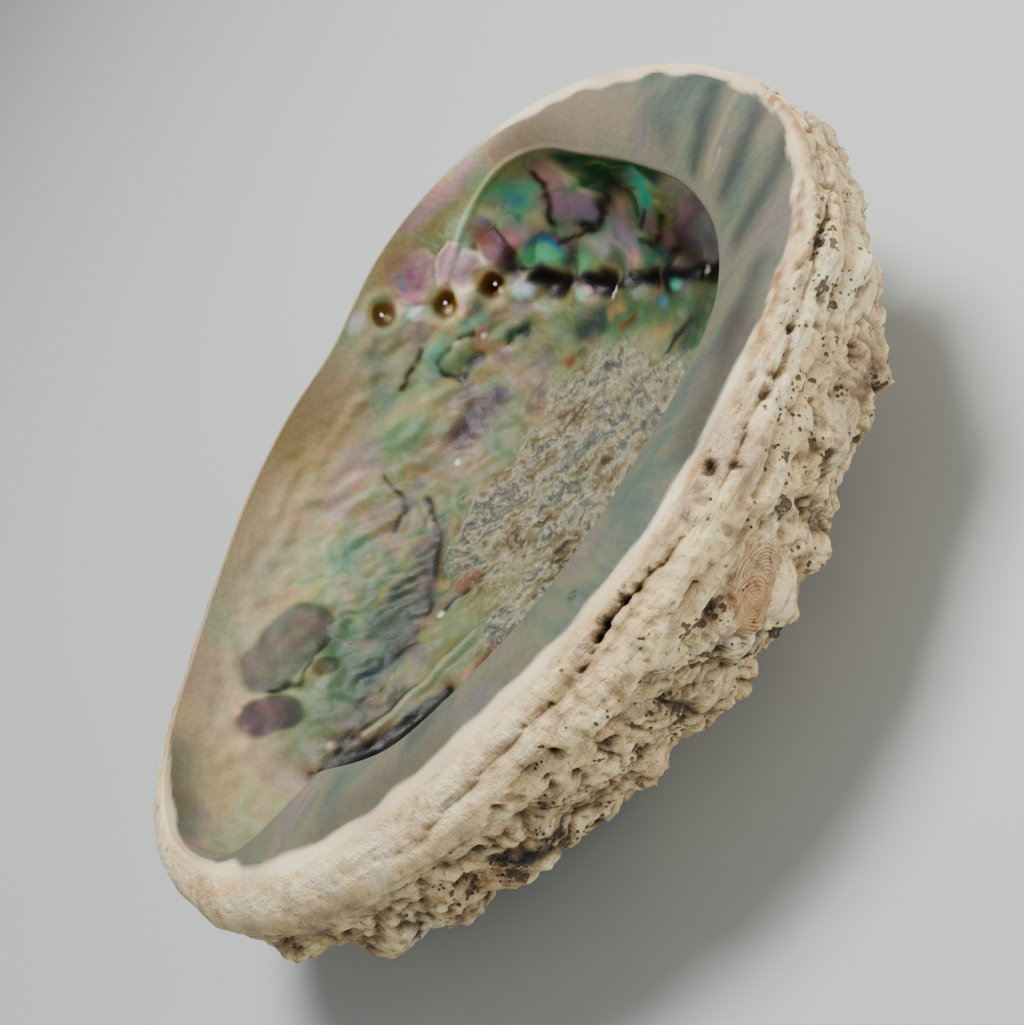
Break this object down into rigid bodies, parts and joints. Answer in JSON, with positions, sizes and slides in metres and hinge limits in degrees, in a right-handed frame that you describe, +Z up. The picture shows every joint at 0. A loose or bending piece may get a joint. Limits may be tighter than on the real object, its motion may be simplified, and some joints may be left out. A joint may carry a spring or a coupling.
{
  "type": "abalone shell",
  "caption": "Empty abalone shell lying on its back: a deep oval bowl lined with mother-of-pearl, a broad overhanging shelf, a row of pores and a lumpy crusted outside.",
  "frame": {"origin": "middle of the shell's bounding box in plan, at the height of the surface it rests on", "axes": "+Z up out of the open bowl, +Y along the shell's length towards its spire end, +X towards the broad shelf"},
  "size_m": [0.1444, 0.1749, 0.051],
  "materials": {
    "shell": "glossy iridescent nacre inside, matt chalky crust outside"
  },
  "bodies": {
    "root": {"abalone_shell": "shell"}
  },
  "joints": []
}
